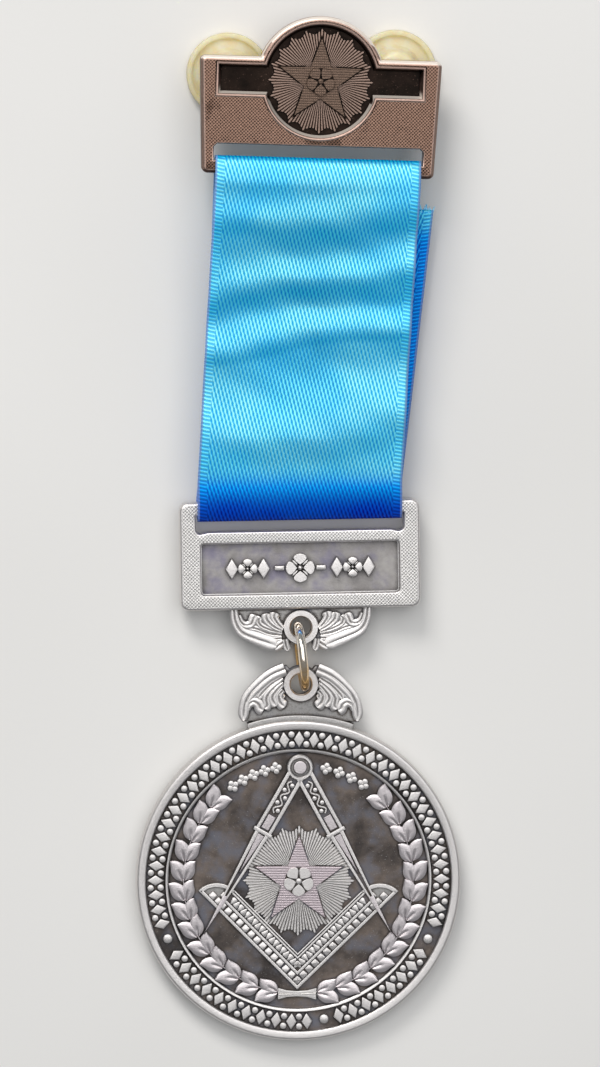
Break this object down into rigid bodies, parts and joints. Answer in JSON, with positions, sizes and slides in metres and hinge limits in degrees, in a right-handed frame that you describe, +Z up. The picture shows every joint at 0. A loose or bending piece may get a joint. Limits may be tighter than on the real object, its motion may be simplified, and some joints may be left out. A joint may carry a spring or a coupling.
{
  "type": "masonic jewel",
  "caption": "Breast jewel: a brooch bar on rubber clutches, a folded ribbon, a lower bar and a round medal on a jump ring.",
  "frame": {"origin": "on the surface the jewel lies on, under the middle of its box", "axes": "+X across the jewel to its right as read, +Y along it from the medal to the brooch bar, +Z up from the surface"},
  "size_m": [0.05, 0.1583, 0.0108],
  "materials": {
    "antique_copper": "cast, antiqued copper with dark recesses and rubbed edges",
    "antique_silver": "cast, antiqued silver plate with dark recesses and rubbed relief",
    "plated_wire": "polished plated wire",
    "satin_ribbon": "sky-blue satin weave with firm selvedges",
    "clutch_rubber": "translucent pale yellow rubber"
  },
  "bodies": {
    "root": {"brooch_bar": "antique_copper", "clutch_left": "clutch_rubber", "clutch_right": "clutch_rubber", "ribbon": "satin_ribbon", "date_bar": "antique_silver", "jump_ring": "plated_wire", "medal": "antique_silver"}
  },
  "joints": []
}
